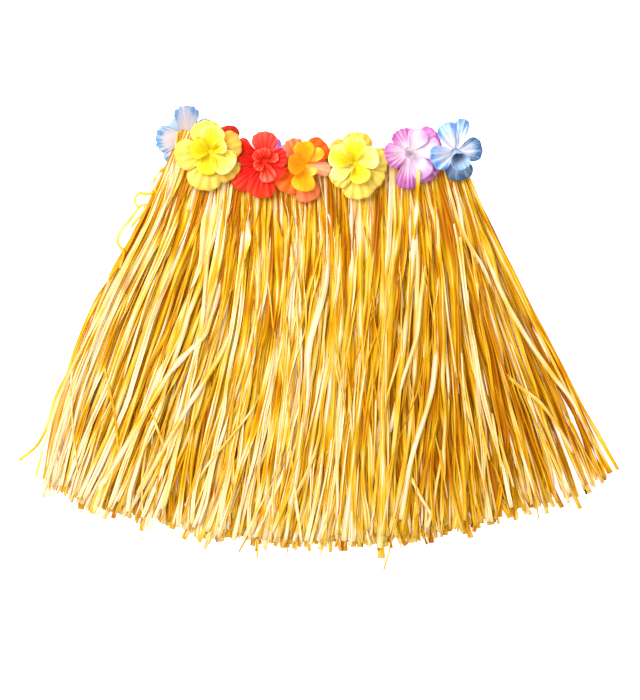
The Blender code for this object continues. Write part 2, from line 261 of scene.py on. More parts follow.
# A ribbon's cross-section: an edge, two creases on top and the other edge, then the creases again
# underneath. The stripe is how far round it each point lies, counted in widths of the ribbon.
RIBBON_THICKNESS = 0.3
SECTION_ACROSS = np.array([-0.5, -0.13, 0.19, 0.5, 0.19, -0.13])
SECTION_CREASE = np.array([0.0, 1.0, -0.55, 0.25, -0.55, 1.0])
SECTION_UNDER = np.array([0.0, 0.0, 0.0, 0.0, 1.0, 1.0])
SECTION_STRIPE = np.array([0.0, 0.37, 0.69, 1.0, 1.31, 1.63])
RING = len(SECTION_ACROSS)
# Nothing on a ribbon lies lower over the table than this.
OFF_TABLE = 0.05
# The dye's map has this length of ribbon to a unit, and each ribbon starts at a place of its own on it.
MAP_UNIT = 100.0
MAP_SHIFT = 7.3


def ribbon_mesh(name, centre, width, roll, crease, tone):
    """Ribbons along centre lines, in millimetres, each turned about its line and creased lengthwise."""
    count, steps, _ = centre.shape
    along = np.gradient(centre, axis=1)
    along /= np.linalg.norm(along, axis=2, keepdims=True)
    side = np.cross(along, np.array([0.0, 0.0, 1.0]))
    side /= np.maximum(np.linalg.norm(side, axis=2, keepdims=True), 1e-6)
    face = np.cross(side, along)
    turned = side * np.cos(roll)[..., None] + face * np.sin(roll)[..., None]
    up = np.cross(turned, along)
    across = SECTION_ACROSS * width[..., None]
    lift = SECTION_CREASE * crease[..., None] * width[..., None] - SECTION_UNDER * RIBBON_THICKNESS
    points = (centre[:, :, None, :] + turned[:, :, None, :] * across[..., None]
              + up[:, :, None, :] * lift[..., None])
    points[..., 2] = np.maximum(points[..., 2], OFF_TABLE)

    first = (np.arange(count)[:, None, None] * steps + np.arange(steps - 1)[None, :, None]) * RING
    here = np.arange(RING)[None, None, :]
    there = (here + 1) % RING
    quads = np.stack([first + here, first + RING + here, first + RING + there, first + there], axis=-1)
    starts = (np.arange(count) * steps * RING)[:, None] + np.arange(RING)[None, :]
    ends = starts[:, ::-1] + (steps - 1) * RING
    faces = quads.reshape(-1, 4).tolist() + starts.tolist() + ends.tolist()
    mesh = bpy.data.meshes.new(name)
    mesh.from_pydata((points.reshape(-1, 3) * MM).tolist(), [], faces)

    # The edges that run down a ribbon are its creases, so they stay sharp.
    edges = np.empty(len(mesh.edges) * 2, dtype=np.int32)
    mesh.edges.foreach_get("vertices", edges)
    lengthwise = np.abs(np.diff(edges.reshape(-1, 2), axis=1)).ravel() == RING
    mesh.attributes.new("sharp_edge", "BOOLEAN", "EDGE").data.foreach_set("value", lengthwise)

    tones = np.broadcast_to(tone[:, :, None], (count, steps, RING)).ravel().astype(np.float32)
    mesh.attributes.new("tone", "FLOAT", "POINT").data.foreach_set("value", tones)
    steps_long = np.linalg.norm(np.diff(centre, axis=1), axis=2)
    far = np.concatenate([np.zeros((count, 1)), np.cumsum(steps_long, axis=1)], axis=1)
    drawn = np.empty((count, steps, RING, 2), dtype=np.float32)
    drawn[..., 0] = far[..., None] / MAP_UNIT + (np.arange(count) * MAP_SHIFT)[:, None, None]
    drawn[..., 1] = SECTION_STRIPE
    corners = np.empty(len(mesh.loops), dtype=np.int32)
    mesh.loops.foreach_get("vertex_index", corners)
    mesh.uv_layers.new(name="UVMap").uv.foreach_set("vector", drawn.reshape(-1, 2)[corners].ravel())
    mesh.shade_smooth()
    return add_object(name, mesh)


# Places along a ribbon: two up to the fold, five round it, and the rest on the way down.
STEPS = 44
# How far inside the heading's faces a ribbon starts and leaves, how much the heights of one layer's legs
# differ there, and how far the lowest of them sag below the stitches.
START_INSET = 1.2
LEG_INSET = 1.0
HEADING_SPREAD = 1.4
SAG = 2.4


def fold_and_fall(layer, chance):
    """Ribbons seen from the side: up inside the heading, round the fold, and down to the hem.

    It gives how far down each place on a ribbon is and how high, how high the ribbon lies within its
    layer (0 to 1), how far it has settled to that height, and which places are past the fold.
    """
    low, high = layer.heading
    start_z = low + START_INSET if layer.upper else high - START_INSET
    leg_z = high - LEG_INSET if layer.upper else low + LEG_INSET
    turn = np.radians([-90.0, -45.0, 0.0, 45.0, 90.0])
    start = np.array([16.0, 8.0])
    fold = FOLD_RADIUS * (1.0 - np.cos(turn))
    heading = np.array([8.0, 16.0, 26.0])
    leg = np.linspace(38.0, SKIRT_LENGTH, STEPS - len(start) - len(fold) - len(heading))
    down = np.tile(np.concatenate([start, fold, heading, leg]) / SKIRT_LENGTH, (layer.count, 1))
    round_fold = (start_z + leg_z) / 2 + (leg_z - start_z) / 2 * np.sin(turn)
    after = np.full(len(heading) + len(leg), leg_z)
    z = np.tile(np.concatenate([np.full(len(start), start_z), round_fold, after]), (layer.count, 1))

    past_fold = np.arange(STEPS)[None, :] >= len(start) + len(fold)
    settled = np.clip((down - LEVEL_UNTIL) / (SETTLED_FROM - LEVEL_UNTIL), 0.0, 1.0) * past_fold
    level = chance.permutation(layer.count)[:, None] / layer.count
    own_z = layer.low + (layer.high - layer.low) * level
    z += (level - 0.5) * HEADING_SPREAD * (1.0 - settled)
    z -= (1.0 - level) * SAG * (1.0 - settled) * np.clip((down - 0.07) / 0.05, 0.0, 1.0)
    z += (own_z - leg_z) * settled
    return down, z, level, settled, past_fold


def lanes(layer, chance):
    """Where each ribbon of a layer is folded over the waist, from one side seam (0) to the other (1)."""
    count = layer.count
    if layer.heading == SIDE_HEADING:
        # Half of them go round each bend of the elastic, the first ones from a little past its end.
        each = count // 2
        return np.concatenate([np.linspace(-0.02, 0.014, each), np.linspace(0.986, 1.024, count - each)])
    along = (np.arange(count) + 0.5) / count + chance.normal(0.0, 0.35 / count, count)
    bunches = 0.0035 * np.sin(along * 2 * math.pi * 23 + layer.seed)
    small_bunches = 0.002 * np.sin(along * 2 * math.pi * 61)
    return np.clip(along + (bunches + small_bunches), 0.0, 1.0)


def away_from_edges(along):
    """0 at the skirt's side edges, where ribbons lie straight, and 1 from an eighth of the waist inward."""
    return np.minimum(1.0, 8.0 * np.minimum(along, 1.0 - along))[:, None]


# How far in from their lane the edge ribbons lie, from three quarters of the way down.
EDGE_TUCK = 7.0


def off_lane(layer, chance, along, down, past_fold, inner):
    """How far to the side of its lane each ribbon lies, in millimetres."""
    count = layer.count
    free = np.clip((down - STITCHED) / (1.0 - STITCHED), 0.0, 1.1) * past_fold
    # All drift a little from stitches to hem, and one in five strays further.
    drift = chance.normal(0.0, layer.wander, (count, 1))
    strays = chance.uniform(size=(count, 1)) < 0.2
    drift += strays * chance.normal(0.0, 2.7 * layer.wander, (count, 1))
    side = drift * free ** 1.2 * (0.35 + 0.65 * inner)
    inward = np.where(along < 0.5, 1.0, -1.0) * np.exp(-(np.minimum(along, 1.0 - along) / 0.05) ** 2)
    side += EDGE_TUCK * inward[:, None] * np.sin(math.pi * np.clip(free, 0.0, 0.75) / 1.5)
    # They bend at a few places, more so in their lower half, and their cut ends splay.
    side += meander(chance, count, free, 4, 0.068) * (0.3 + 0.7 * inner)
    side += meander(chance, count, free, 2, 0.09, 0.55) * (0.3 + 0.7 * inner)
    side += chance.normal(0.0, 6.0, (count, 1)) * np.clip((free - 0.7) / 0.3, 0.0, 1.2) ** 2 * inner
    side += waves(chance, count, down, 60.0, 200.0, 0.9) * np.clip(free * 3.0, 0.0, 1.0)
    return side


def ribbon_widths(layer, chance, down, inner):
    """Width down each ribbon: pinched at the fold, uneven below it, and narrower as the leaf splits."""
    count = layer.count
    width = layer.narrow + (layer.wide - layer.narrow) * chance.uniform(size=(count, 1)) ** 1.5
    width = width * (0.62 + 0.38 * np.clip(down * 9.0, 0.0, 1.0))
    width = width * (1.0 - layer.split * np.clip(down * 1.9 - 0.15, 0.0, 1.0))
    width = width * (1.0 + waves(chance, count, down, 70.0, 240.0, 0.24)) * (0.6 + 0.4 * inner)
    # One in eight has fallen open somewhere, to twice its width.
    opened = chance.uniform(size=(count, 1)) < 0.12
    opens_at = chance.uniform(0.15, 0.9, (count, 1))
    return width * (1.0 + opened * np.exp(-((down - opens_at) / 0.16) ** 2) * (down > STITCHED))


def ribbon_rolls(layer, chance, down, width):
    """How far ribbons are turned about their own line, in radians: narrow ones roll over, wide ones don't."""
    count = layer.count
    roll = np.radians(waves(chance, count, down, 140.0, 520.0, 28.0) + chance.normal(0.0, 10.0, (count, 1)))
    slim = np.clip(4.5 / width.max(axis=1, keepdims=True), 0.0, 1.0)
    turns = half_turns(chance, count, down, 2) * (down > 0.03)
    return roll * slim ** 1.5 + turns * (slim > 0.6)


def ribbon_tones(layer, chance, along, down, level, roll):
    """How pale each ribbon is down its length, from deep (0) to pale (1): its dye, with painted light and
    shade laid over it.
    """
    count = layer.count
    along = along[:, None]
    # Under the fold the ribbons crowd together. They differ most there, and the lower ones are painted darker
    # and the upper ones lighter, as painted shade and light.
    gathered = np.clip((0.34 - down) / 0.2, 0.0, 1.0)
    tone = 0.37 + chance.uniform(-0.35, 0.35, (count, 1)) * (1.0 + 0.7 * gathered)
    tone = tone + (0.55 * level + layer.fold_pale) * gathered
    tone = tone + waves(chance, count, down, 50.0, 220.0, 0.2)
    # A ribbon that rolls over changes tone as it turns, from a place of its own on each ribbon.
    tone = tone + 0.16 * np.sin(roll + chance.uniform(0.0, 2 * math.pi, (count, 1)))
    # The left side is painted a little lighter, its edge most, and the right side darker: painted light and
    # shade. Under the fold the left edge is painted lighter still.
    left = np.clip((0.4 - along) / 0.25, 0.0, 1.0)
    right = np.clip((along - 0.6) / 0.2, 0.0, 1.0)
    left_edge = np.exp(-(along / 0.04) ** 2)
    right_edge = np.clip((along - 0.85) / 0.1, 0.0, 1.0)
    below_fold = np.clip((down - 0.2) / 0.3, 0.0, 1.0)
    tone = tone + (0.08 * left - 0.11 * right + 0.22 * left_edge) * below_fold
    tone = tone + 0.3 * left_edge * gathered * np.clip((down - 0.02) / 0.06, 0.0, 1.0)
    # Towards the cut ends the ribbons are painted lighter, the right edge most, and they grow lighter all the
    # way down. On the left the upper half is painted darker, and each layer is painted darker the lower it
    # lies. All of these are painted light and shade.
    tone = tone + (0.3 + 0.15 * right_edge) * np.clip((down - 0.82) / 0.18, 0.0, 1.0)
    upper_half = np.clip((down - 0.1) / 0.1, 0.0, 1.0) * np.clip((0.5 - down) / 0.2, 0.0, 1.0)
    return tone + 0.1 * (down - 0.3) - 0.1 * left * upper_half + layer.pale


# How far above the hem line most ribbons end, about how wide the flattened waist is, and how far in
# from its ends, as a share of it, the ribbons that go round the elastic's bends are carried.
TRIM_BACK = 8.0
WAIST_WIDTH = 300.0
SIDE_INSET = 0.02


def raffia_layer(layer):
    """One layer of folded ribbons, each in a lane of its own, with its own length, width and tone."""
    chance = np.random.default_rng(layer.seed)
    count = layer.count
    down, z, level, settled, past_fold = fold_and_fall(layer, chance)
    folded_at = lanes(layer, chance)
    inset = SIDE_INSET if layer.heading == SIDE_HEADING else 0.0
    along = np.clip(folded_at, inset, 1.0 - inset)
    inner = away_from_edges(along)

    # The shears leave ragged ends, and have missed a few ribbons by 8 to 18 mm.
    stretch = 1.0 + chance.normal(-TRIM_BACK, layer.ragged, (count, 1)) / SKIRT_LENGTH
    missed = chance.uniform(size=(count, 1)) < 0.03
    stretch += missed * chance.uniform(8.0, 18.0, (count, 1)) / SKIRT_LENGTH
    down = np.where(past_fold, down * stretch, down)

    x, y = lie(along, down, layer.evenness)
    x = x + ((folded_at - along) * WAIST_WIDTH)[:, None] * np.clip(1.0 - down * 8.0, 0.0, 1.0)
    x = x + off_lane(layer, chance, along, down, past_fold, inner)
    z = z + waves(chance, count, down, 120.0, 320.0, 0.6) * settled
    width = ribbon_widths(layer, chance, down, inner)
    roll = ribbon_rolls(layer, chance, down, width)
    crease = 0.15 * chance.choice([-1.0, 1.0], (count, 1)) + waves(chance, count, down, 80.0, 260.0, 0.14)
    tone = ribbon_tones(layer, chance, along, down, level, roll)
    return ribbon_mesh(layer.name, np.stack([x, y, z], axis=-1), width, roll, crease, tone)


# Ribbons that have slipped out of their lane. Each has its width, its tone, its height where it starts,
# midway and where it ends, and its path over the table.
Loose = namedtuple("Loose", "width tone start_z top_z end_z path")
LOOSE = [
    # Loops that hang out at the left side.
    Loose(3.4, 0.62, 7, 8, 6,
          [(-168.7, 184.0), (-180.1, 174.9), (-193.0, 163.6), (-203.9, 164.7), (-209.0, 157.9),
           (-206.2, 150.0), (-196.0, 152.2), (-201.6, 140.9), (-213.0, 127.2)]),
    Loose(3.0, 0.62, 7, 9, 6,
          [(-161.9, 202.2), (-173.2, 195.4), (-183.9, 184.7), (-188.0, 174.0), (-184.6, 163.6),
           (-191.4, 150.0)]),
    Loose(3.6, 0.6, 6, 8, 5,
          [(-202.8, 151.1), (-214.4, 134.5), (-226.1, 119.3), (-228.3, 107.9), (-222.1, 97.7),
           (-227.8, 79.5)]),
    # One that sticks out at the left corner of the hem, and four that hang below the hem.
    Loose(3.6, 0.55, 6, 8, 4,
          [(-270.9, -13.6), (-286.8, -43.2), (-299.6, -68.2), (-309.6, -102.2), (-320.9, -122.7),
           (-341.4, -139.7)]),
    Loose(2.2, 0.55, 9, 12, 3, [(86.9, -138.6), (85.8, -184.0), (82.0, -235.2), (74.4, -264.7)]),
    Loose(3.9, 0.75, 9, 10, 3, [(-104.0, -150.0), (-110.0, -180.0), (-120.0, -214.0), (-130.0, -241.0)]),
    Loose(2.2, 0.3, 8, 9, 3, [(-64.0, -170.0), (-72.0, -202.0), (-81.0, -226.0), (-91.0, -244.0)]),
    Loose(2.6, 0.5, 8, 9, 3, [(-66.0, -170.0), (-68.0, -200.0), (-69.0, -228.0), (-70.0, -250.0)]),
    # Pale ones that lie across the front.
    Loose(5.4, 0.98, 9, 15, 12,
          [(133.5, 63.2), (133.5, 43.2), (133.5, -5.7), (127.8, -62.5), (105.1, -137.5), (93.7, -206.2)]),
    Loose(4.4, 0.95, 11, 15, 10,
          [(150.0, 187.0), (154.4, 168.6), (159.9, 146.9), (165.3, 118.6), (176.2, 96.9), (189.2, 75.1),
           (196.0, 58.0)]),
    Loose(4.4, 0.9, 10, 15, 9,
          [(119.8, 97.2), (119.8, 77.2), (115.3, 38.6), (110.8, 0.0), (93.7, -53.4), (81.2, -106.8)]),
    Loose(5.0, 0.85, 9, 15, 8,
          [(181.0, 118.0), (191.4, 92.5), (211.0, 44.7), (237.0, -0.9), (267.5, -44.4), (289.2, -72.7),
           (314.0, -122.0)]),
    Loose(3.8, 0.7, 10, 15, 9,
          [(208.8, -37.9), (228.3, -55.3), (250.1, -72.5), (271.8, -100.9), (289.2, -131.2)]),
    Loose(6.2, 0.9, 9, 15, 11,
          [(-108.2, 74.5), (-114.2, 54.5), (-128.9, 6.8), (-168.7, -38.6), (-208.5, -105.6),
           (-250.2, -173.4)]),
    Loose(4.4, 0.75, 10, 15, 9,
          [(-122.4, 137.0), (-124.4, 117.0), (-126.7, 82.9), (-132.3, 19.3), (-143.7, -47.7)]),
    Loose(7.4, 0.98, 9, 15, 9,
          [(12.8, 131.3), (10.8, 111.3), (7.4, 61.3), (-10.8, -11.4), (-13.1, -60.2), (-21.0, -127.2)]),
    Loose(5.2, 0.8, 9, 15, 11,
          [(-88.6, 63.2), (-92.6, 43.2), (-106.2, -8.0), (-157.3, -93.2), (-204.8, -176.7)]),
    Loose(3.8, 0.8, 10, 14, 11, [(101.0, -148.0), (107.0, -162.0), (117.0, -182.0), (129.8, -202.8)]),
    # The outermost ones, along the right edge and the left one. The left one is painted pale, as painted
    # light on the edge of the pile.
    Loose(4.6, 0.45, 9, 11, 7,
          [(172.0, 168.0), (212.0, 92.0), (258.0, 2.0), (300.0, -78.0), (341.0, -150.0)]),
    Loose(3.4, 0.6, 9, 12, 8,
          [(176.0, 156.0), (208.0, 92.0), (252.0, 2.0), (292.0, -78.0), (334.0, -153.0)]),
    Loose(3.8, 0.85, 9, 11, 7,
          [(-176.0, 168.0), (-206.0, 110.0), (-262.0, 2.0), (-296.0, -70.0), (-322.0, -158.0)]),
    # Thin ones that lie at a slant.
    Loose(2.2, 0.7, 10, 15, 11, [(-280.0, -36.0), (-281.0, -50.0), (-279.0, -100.0), (-273.0, -156.0)]),
    Loose(2.4, 0.6, 10, 15, 11, [(-194.0, -70.0), (-189.0, -84.0), (-181.0, -108.0), (-171.0, -134.0)]),
    Loose(2.6, 0.75, 10, 15, 11,
          [(-66.0, -62.0), (-76.0, -82.0), (-103.0, -116.0), (-126.0, -144.0), (-139.0, -166.0)]),
    Loose(2.4, 0.5, 10, 15, 11, [(-246.0, -20.0), (-243.0, -34.0), (-231.0, -90.0), (-226.0, -150.0)]),
    # One that has come out over a flower.
    Loose(4.6, 0.7, 25, 20, 11,
          [(112.8, 190.0), (112.4, 181.0), (111.8, 168.0), (110.5, 140.0), (107.0, 104.0)]),
]
LOOSE_STEPS = 30


def loose_ribbons():
    """The loose ribbons: a smooth curve along each path, lifted over its neighbours between the ends."""
    chance = np.random.default_rng(46)
    part = np.linspace(0.0, 1.0, LOOSE_STEPS)
    centres = []
    for loose in LOOSE:
        path = np.array(loose.path).T
        far = np.concatenate([[0.0], np.cumsum(np.hypot(*np.diff(path, axis=1)))])
        x, y = curve_through(far, path, np.broadcast_to(part * far[-1], (2, LOOSE_STEPS)))
        z = loose.start_z + (loose.end_z - loose.start_z) * part
        z = z + (loose.top_z - (loose.start_z + loose.end_z) / 2) * np.sin(math.pi * part) ** 0.7
        centres.append(np.stack([x, y, z], axis=-1))
    count = len(LOOSE)
    down = np.broadcast_to(part, (count, LOOSE_STEPS))
    width = np.array([[loose.width] for loose in LOOSE])
    width = width * (1.0 + waves(chance, count, down, 60.0, 200.0, 0.14))
    roll = np.radians(waves(chance, count, down, 120.0, 360.0, 22.0))
    crease = 0.16 + waves(chance, count, down, 80.0, 260.0, 0.1)
    tone = np.array([[loose.tone] for loose in LOOSE]) + waves(chance, count, down, 90.0, 240.0, 0.2)
    return ribbon_mesh("raffia_loose", np.array(centres), width, roll, crease, tone)


# How many thin strands lie on top, how high, and how far their ends dip between the ribbons.
STRANDS = 100
STRAND_HEIGHT = 14.2
STRAND_DIP = 4.0


def split_strands():
    """Thin strands that have split from a ribbon's side and lie at a slant over its neighbours."""
    chance = np.random.default_rng(47)
    part = np.linspace(0.0, 1.0, LOOSE_STEPS)
    along = chance.uniform(0.02, 0.98, STRANDS)
    start = chance.uniform(0.2, 0.8, (STRANDS, 1))
    down = start + np.minimum(chance.uniform(0.14, 0.4, (STRANDS, 1)), 0.99 - start) * part
    x, y = lie(along, down, 0.0)
    inner = away_from_edges(along)
    far = down - start
    x = x + chance.normal(0.0, 0.12, (STRANDS, 1)) * inner * far * SKIRT_LENGTH
    x = x + waves(chance, STRANDS, down, 90.0, 260.0, 2.5) * np.clip(far * 12.0, 0.0, 1.0) * inner
    z = STRAND_HEIGHT - STRAND_DIP * (2.0 * part - 1.0) ** 4 + waves(chance, STRANDS, down, 90.0, 260.0, 0.3)
    width = chance.uniform(1.3, 2.6, (STRANDS, 1)) * (1.0 + waves(chance, STRANDS, down, 60.0, 200.0, 0.15))
    roll = np.radians(waves(chance, STRANDS, down, 90.0, 260.0, 40.0))
    crease = 0.16 + waves(chance, STRANDS, down, 80.0, 260.0, 0.1)
    tone = chance.uniform(0.25, 0.95, (STRANDS, 1)) + waves(chance, STRANDS, down, 50.0, 220.0, 0.1)
    return ribbon_mesh("raffia_strands", np.stack([x, y, z], axis=-1), width, roll, crease, tone)


# The sizes of its patterns along and across a ribbon of mean width. Raffia's fibres are about 0.1 mm
# wide, which is too fine to show, so the grain is drawn as streaks 1.5 mm wide. Patches where the dye
# took deeper come 22 to the metre and are two ribbons wide.
MEAN_WIDTH = 5.1
STREAK = (62.5, 1.5)
PATCH = (1000.0 / 22, 10.2)
# What the ribbons look like from the deep end of their tone, which also carries painted shade, to the pale
# end, which also carries painted light.
RAFFIA_DYE = ((0.0, "#C67800"), (0.32, "#E2AE00"), (0.57, "#ECCA3C"), (0.8, "#F4DC98"), (1.0, "#FAEAC4"))
# Light that comes through has crossed the dyed thickness, so it is filtered once more.
THROUGH_RAFFIA = "#FFF0A8"


def dyed_raffia():
    """Dyed raffia ribbon: silky along its grain, lets warm light through, and darker where its tone carries
    painted shade.
    """
    made, tree, output = new_material("dyed_raffia")
    tone = add_node(tree, "Attribute", attribute_name="tone")
    place = add_node(tree, "UVMap", uv_map="UVMap")
    grain_place = add_node(tree, "Mapping", {"Vector": place.outputs["UV"],
                           "Scale": (MAP_UNIT / STREAK[0], MEAN_WIDTH / STREAK[1], 1.0)})
    grain = add_node(tree, "TexNoise", {"Vector": grain_place.outputs["Vector"], "Scale": 1.0,
                     "Detail": 3.0, "Roughness": 0.6})
    patch_place = add_node(tree, "Mapping", {"Vector": place.outputs["UV"],
                           "Scale": (MAP_UNIT / PATCH[0], MEAN_WIDTH / PATCH[1], 1.0)})
    patch = add_node(tree, "TexNoise", {"Vector": patch_place.outputs["Vector"], "Scale": 1.0,
                     "Detail": 1.0})
    streak = add_node(tree, "Math", {0: grain.outputs["Fac"], 1: patch.outputs["Fac"]}, operation="ADD")
    spread = add_node(tree, "MapRange", {"Value": streak.outputs["Value"], "From Min": 0.6, "From Max": 1.4,
                      "To Min": -0.5, "To Max": 0.5})
    shade = add_node(tree, "Math", {0: tone.outputs["Fac"], 1: spread.outputs["Result"]}, operation="ADD",
                     use_clamp=True)
    dye = add_node(tree, "ValToRGB", {"Fac": shade.outputs["Value"]})
    stops = dye.color_ramp.elements
    while len(stops) < len(RAFFIA_DYE):
        stops.new(0.5)
    for stop, (position, colour) in zip(stops, RAFFIA_DYE):
        stop.position = position
        stop.color = linear(colour)
    relief = add_node(tree, "Bump", {"Height": grain.outputs["Fac"], "Strength": 0.5, "Distance": 0.5 * MM})
    surface = add_node(tree, "BsdfPrincipled", {"Base Color": dye.outputs["Color"], "Roughness": 0.42,
                       "IOR": 1.48, "Specular IOR Level": 0.12, "Normal": relief.outputs["Normal"]})
    deeper = add_node(tree, "Mix", {0: 1.0, 6: dye.outputs["Color"], 7: linear(THROUGH_RAFFIA)},
                      data_type="RGBA", blend_type="MULTIPLY")
    through = add_node(tree, "BsdfTranslucent", {"Color": deeper.outputs[2]})
    both = add_node(tree, "MixShader", {0: 0.44, 1: surface.outputs["BSDF"], 2: through.outputs["BSDF"]})
    tree.links.new(both.outputs["Shader"], output.inputs["Surface"])
    return made


raffia = dyed_raffia()
raffia_pieces = [(raffia_layer(layer), layer.node) for layer in LAYERS]
raffia_pieces.append((loose_ribbons(), "fringe_front"))
raffia_pieces.append((split_strands(), "fringe_front"))
for ribbons, node in raffia_pieces:
    ribbons.data.materials.append(raffia)
    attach(ribbons, "root")
    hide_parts(node)

# ---------------------------------------------------------------------------------------------------
# Flowers: two corollas of polyester satin each, die-cut with five petals, pressed in pleats and stitched
# together through the middle. Six are sewn to the front heading and six to the back one.

# A petal: the way it points, in degrees, how far its rim is from the eye, half its angle, the rim's
# height over the eye (0 lies flat), how much higher its left side stands than its right one, and how
# far its colour goes to the deep one, which is partly its dye and partly painted shade on petals turned
# from the lamp (paler, below zero).
Petal = namedtuple("Petal", "toward reach spread lift twist depth", defaults=[0.0])
# A corolla: the solid it dresses, its slot's colour, its dye, where its eye is, how far its rim leans
# over to a side, how many pleats a petal has, and the share of its reach that is left between petals.
Flower = namedtuple("Flower", "name colour dye eye_x eye_y eye_z lean_x lean_y pleats notch petals")
FLOWERS = [
    Flower("flower_front_1_outer", "pale_yellow", "pale_yellow", -122.0, 211.0, 15.0, 0, 0, 5, 0.46, [
        Petal(104, 35, 46, 12, 2), Petal(18, 36, 40, 12, -3, 1.0), Petal(-47, 40, 38, 9, 2, 0.6),
        Petal(256, 45, 40, 9, 0, 0.1), Petal(188, 40, 40, 11, 2)]),
    Flower("flower_front_1_inner", "bright_yellow", "bright_yellow", -122.0, 211.0, 16.6, 0, 0, 0, 0.40, [
        Petal(83, 28, 48, 14, -3), Petal(172, 22, 48, 13, 2, 1.0), Petal(258, 27, 40, 11, 2, 1.0),
        Petal(-37, 32, 44, 12, -2, -0.1), Petal(22, 19, 40, 15, 0)]),
    Flower("flower_front_2_outer", "red", "red", -61.0, 200.0, 15.0, 0, 0, 6, 0.44, [
        Petal(141, 36.5, 12, 10, 2, 0.5), Petal(170, 34, 31, 8, -2, 0.8), Petal(216, 45, 29, 7, 2, 0.3),
        Petal(262, 42, 36, 9, 0), Petal(90, 33, 40, 12, -2, -0.15), Petal(10, 26, 38, 14, 3, 0.5),
        Petal(-38, 28, 30, 11, 0, 0.3)]),
    Flower("flower_front_2_inner", "red", "soft_red", -61.0, 200.0, 16.6, 0, 0, 4, 0.44, [
        Petal(140, 15, 42, 9, 1), Petal(30, 17, 44, 10, -2), Petal(283, 25, 34, 10, 1),
        Petal(220, 14, 40, 9, 0), Petal(88, 14, 42, 10, 0)]),
    Flower("flower_front_3_outer", "orange_red", "orange_red", -22.0, 197.5, 15.0, 0, 0, 4, 0.46, [
        Petal(107, 29, 34, 10, 3, -0.25), Petal(37, 38, 35, 8, -2, 0.6), Petal(238, 37, 42, 8, 0),
        Petal(286, 45, 29, 7, 2, -0.2), Petal(-12, 37, 20, 6, -2, -0.7)]),
    Flower("flower_front_3_inner", "amber", "amber", -12.0, 194.5, 16.6, 0, 0, 1, 0.62, [
        Petal(104, 27, 36, 17, 3), Petal(178, 22, 44, 17, 0, 0.6), Petal(256, 30, 38, 14, -2),
        Petal(50, 24, 24, 11, 2, -0.2), Petal(-50, 13, 30, 12, 0, -0.5)]),
    Flower("flower_front_4_outer", "pale_yellow", "pale_yellow", 42.5, 197.5, 15.0, 0, 0, 5, 0.46, [
        Petal(86, 36, 42, 6, 0, 0.5), Petal(5, 36, 38, 9, 2), Petal(-38, 37, 34, 8, 0),
        Petal(276, 41, 42, 9, 0), Petal(221, 35, 32, 11, 4), Petal(142, 36, 30, 7, 0, 0.5)]),
    Flower("flower_front_4_inner", "bright_yellow", "bright_yellow", 42.5, 197.5, 16.6, 0, 0, 0, 0.42, [
        Petal(160, 32, 38, 11, 0), Petal(99, 29, 45, 13, -2), Petal(20, 26, 46, 14, 2, -0.3),
        Petal(288, 24, 46, 13, 0, 0.7), Petal(211, 31, 27, 10, 3, -0.4)]),
    Flower("flower_front_5_outer", "lilac", "lilac", 102.0, 211.5, 15.0, 0, 0, 7, 0.70, [
        Petal(111, 26, 44, 12, 2, 0.2), Petal(198, 28, 44, 11, 0), Petal(271, 43, 27, 8, -2, 0.3),
        Petal(-41, 42, 32, 7, 0), Petal(24, 38, 38, 8, 2)]),
    Flower("flower_front_5_inner", "pink_white", "pink_white", 103.5, 211.0, 16.6, 0, 0, 1, 0.60, [
        Petal(61, 27, 38, 13, 2), Petal(10, 34, 36, 9, 0), Petal(-56, 35, 30, 9, 0),
        Petal(175, 6, 50, 16, 0), Petal(255, 9, 48, 14, 0)]),
    Flower("flower_front_6_outer", "blue", "blue", 156.0, 211.0, 15.0, 0, 0, 4, 0.46, [
        Petal(113, 34, 33, 12, 3), Petal(78, 37, 19, 13, -3, 0.3), Petal(6, 29, 42, 12, 3, 0.7),
        Petal(203, 31, 42, 15, -2), Petal(280, 33, 42, 6, 0, 0.75)]),
    Flower("flower_front_6_inner", "pale_blue", "pale_blue", 155.5, 212.0, 17.0, 4.0, -14.0, 0, 0.97, [
        Petal(0, 11, 36, 15, 0), Petal(72, 9.5, 36, 15, 0), Petal(144, 10.5, 36, 15, 0),
        Petal(216, 10.5, 36, 15, 0), Petal(288, 9.5, 36, 15, 0)]),
    Flower("flower_back_1_outer", "blue", "blue_tipped", -149.0, 227.5, 1.9, 0, 0, 6, 0.44, [
        Petal(94, 38, 34, 0, 0, 0.45), Petal(33, 33, 29, 0, 0, 0.3), Petal(181, 37, 38, 0, 0, 0.1),
        Petal(231, 36, 30, 0, 0), Petal(310, 34, 38, 0, 0)]),
    Flower("flower_back_1_inner", "pale_blue", "pale_blue", -149.0, 227.5, 0.6, 0, 0, 3, 0.44, [
        Petal(135, 29, 34, 0, 0), Petal(60, 22, 38, 0, 0), Petal(205, 22, 38, 0, 0),
        Petal(275, 22, 38, 0, 0), Petal(345, 22, 38, 0, 0)]),
    Flower("flower_back_2_outer", "red", "dark_red", -100.0, 212.0, 1.9, 0, 0, 5, 0.44, [
        Petal(99, 31, 38, 0, 0), Petal(30, 24, 30, 0, 0), Petal(177, 28, 36, 0, 0),
        Petal(249, 28, 36, 0, 0), Petal(321, 28, 36, 0, 0)]),
    Flower("flower_back_3_outer", "lilac", "pale_lilac", -54.0, 197.0, 1.9, 0, 0, 5, 0.44, [
        Petal(82, 32, 21, 0, 0), Petal(48, 29, 22, 0, 0, -0.3), Petal(138, 21, 36, 0, 0),
        Petal(210, 28, 36, 0, 0), Petal(282, 28, 36, 0, 0)]),
]

